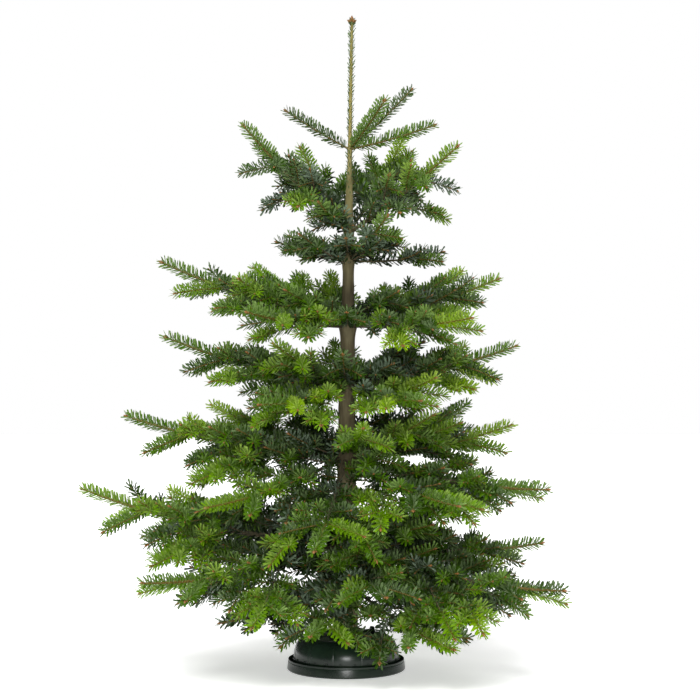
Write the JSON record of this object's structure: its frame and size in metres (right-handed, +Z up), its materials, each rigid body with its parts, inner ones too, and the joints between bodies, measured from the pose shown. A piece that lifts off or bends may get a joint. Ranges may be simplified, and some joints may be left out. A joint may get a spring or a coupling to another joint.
{
  "type": "christmas tree",
  "caption": "Cut fir with a straight trunk, whorls of tapering boughs and flat sprays of needles, in a round moulded stand with a drip tray.",
  "frame": {"origin": "middle of the stand's flat underside, on the floor", "axes": "+Z up along the trunk; the trunk's tip leans slightly towards +X, and -Y is the tree's front"},
  "size_m": [1.45, 1.0946, 2],
  "materials": {
    "trunk_bark": "rough grey-brown bark",
    "bough_bark": "rough brown bark",
    "needles": "satin green needles, paler underneath",
    "stand_plastic": "satin dark green moulding"
  },
  "bodies": {
    "root": {"bough_fifth_left": "bough_bark", "bough_fifth_right": "bough_bark", "bough_fourth_left": "bough_bark", "bough_fourth_right": "bough_bark", "bough_second_left": "bough_bark", "bough_second_right": "bough_bark", "bough_sixth_front_left": "bough_bark", "bough_sixth_front_right": "bough_bark", "bough_sixth_left": "bough_bark", "bough_sixth_right": "bough_bark", "bough_third_front_left": "bough_bark", "bough_third_left": "bough_bark", "bough_third_right": "bough_bark", "foliage_fifth_back_left": "needles", "foliage_fifth_back_right": "needles", "foliage_fifth_front": "needles", "foliage_fifth_front_left": "needles", "foliage_fifth_front_right": "needles", "foliage_fifth_high_right": "needles", "foliage_fifth_left": "needles", "foliage_fifth_right": "needles", "foliage_fourth_back_left": "needles", "foliage_fourth_back_right": "needles", "foliage_fourth_front_left": "needles", "foliage_fourth_front_right": "needles", "foliage_fourth_left": "needles", "foliage_fourth_right": "needles", "foliage_inner_front": "needles", "foliage_inner_left": "needles", "foliage_inner_right": "needles", "foliage_lowest_back": "needles", "foliage_lowest_front": "needles", "foliage_lowest_front_right": "needles", "foliage_lowest_left": "needles", "foliage_lowest_right": "needles", "foliage_second_back_left": "needles", "foliage_second_back_right": "needles", "foliage_second_front": "needles", "foliage_second_left": "needles", "foliage_second_right": "needles", "foliage_sixth_back_left": "needles", "foliage_sixth_back_right": "needles", "foliage_sixth_front": "needles", "foliage_sixth_front_left": "needles", "foliage_sixth_front_right": "needles", "foliage_sixth_left": "needles", "foliage_sixth_right": "needles", "foliage_third_back_left": "needles", "foliage_third_back_right": "needles", "foliage_third_front_left": "needles", "foliage_third_front_right": "needles", "foliage_third_left": "needles", "foliage_third_right": "needles", "foliage_top_front": "needles", "foliage_top_left": "needles", "foliage_top_low": "needles", "foliage_top_right": "needles", "stand_body": "stand_plastic", "stand_tray": "stand_plastic", "trunk": "trunk_bark"}
  },
  "joints": []
}
